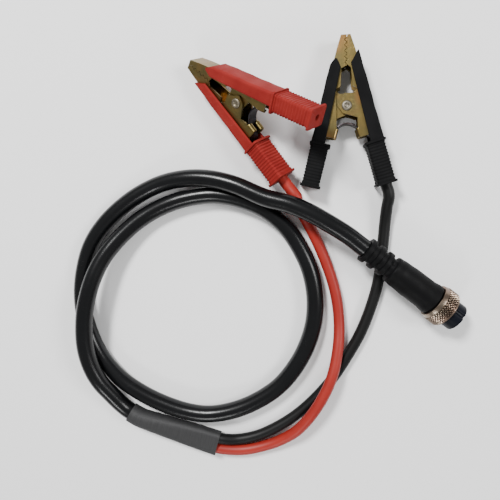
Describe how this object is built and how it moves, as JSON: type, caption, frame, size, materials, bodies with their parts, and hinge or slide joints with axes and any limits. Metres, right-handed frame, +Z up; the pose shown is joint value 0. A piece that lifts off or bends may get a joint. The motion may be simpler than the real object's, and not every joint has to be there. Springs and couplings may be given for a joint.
{
  "type": "alligator clip cable",
  "caption": "Cable with a round screw-ring plug on one end and red and black insulated spring clips on the other, joined under a heat shrink sleeve.",
  "frame": {"origin": "floor point under the middle of the box of both clips and the plug, as they lie", "axes": "+Z up from the floor, +Y along the black clip towards its jaws, +X towards the plug's side"},
  "size_m": [0.2002, 0.2121, 0.0378],
  "materials": {
    "jaw_steel": "sheet steel with a yellow brass coloured passivation, satin",
    "rivet_steel": "bright zinc",
    "spring_steel": "dark hardened spring steel",
    "black_plastic": "soft moulded vinyl, satin",
    "red_plastic": "soft moulded vinyl, satin",
    "plug_plastic": "moulded body, fine matte",
    "insert_plastic": "moulded insulator, satin gloss",
    "nickel": "nickel plated, diamond knurl",
    "contact_metal": "plated contact",
    "copper": "bare stranded copper",
    "main_cable": "glossy cable jacket",
    "heat_shrink": "matte heat shrink, fine wrinkles",
    "red_lead": "satin insulation",
    "black_lead": "satin insulation"
  },
  "bodies": {
    "root": {"black_cable_jaw": "jaw_steel", "black_pivot_rivet": "rivet_steel", "black_leaf_spring": "spring_steel", "black_cable_cover": "black_plastic", "black_lead_core": "copper", "red_cable_jaw": "jaw_steel", "red_pivot_rivet": "rivet_steel", "red_leaf_spring": "spring_steel", "red_cable_cover": "red_plastic", "red_lead_core": "copper", "plug_body": "plug_plastic", "plug_insert": "insert_plastic", "contact_1": "contact_metal", "contact_2": "contact_metal", "contact_3": "contact_metal", "contact_4": "contact_metal", "main_cable": "main_cable", "heat_shrink_sleeve": "heat_shrink", "red_lead": "red_lead", "black_lead": "black_lead"},
    "black_free_half": {"black_free_jaw": "jaw_steel", "black_free_cover": "black_plastic"},
    "red_free_half": {"red_free_jaw": "jaw_steel", "red_free_cover": "red_plastic"},
    "ring": {"coupling_ring": "nickel"}
  },
  "joints": [
    {"name": "black_jaw_hinge", "type": "hinge", "parent": "root", "child": "black_free_half", "pos_m": [0.00976, 0.03675, 0.0066], "axis": [0, 0, 1], "range_deg": [0, 23], "stiffness_Nm_per_rad": 0.1, "springref_deg": -28.65, "deforming": ["black_leaf_spring"]},
    {"name": "red_jaw_hinge", "type": "hinge", "parent": "root", "child": "red_free_half", "pos_m": [-0.04014, 0.03945, 0.01285], "axis": [0.4863, 0.3306, -0.8088], "range_deg": [0, 23], "stiffness_Nm_per_rad": 0.1, "springref_deg": -28.65, "deforming": ["red_leaf_spring"]},
    {"name": "ring_spin", "type": "hinge", "parent": "root", "child": "ring", "pos_m": [0.05226, -0.05545, 0.00995], "axis": [0.7956, -0.5995, -0.0872], "continuous": true}
  ]
}
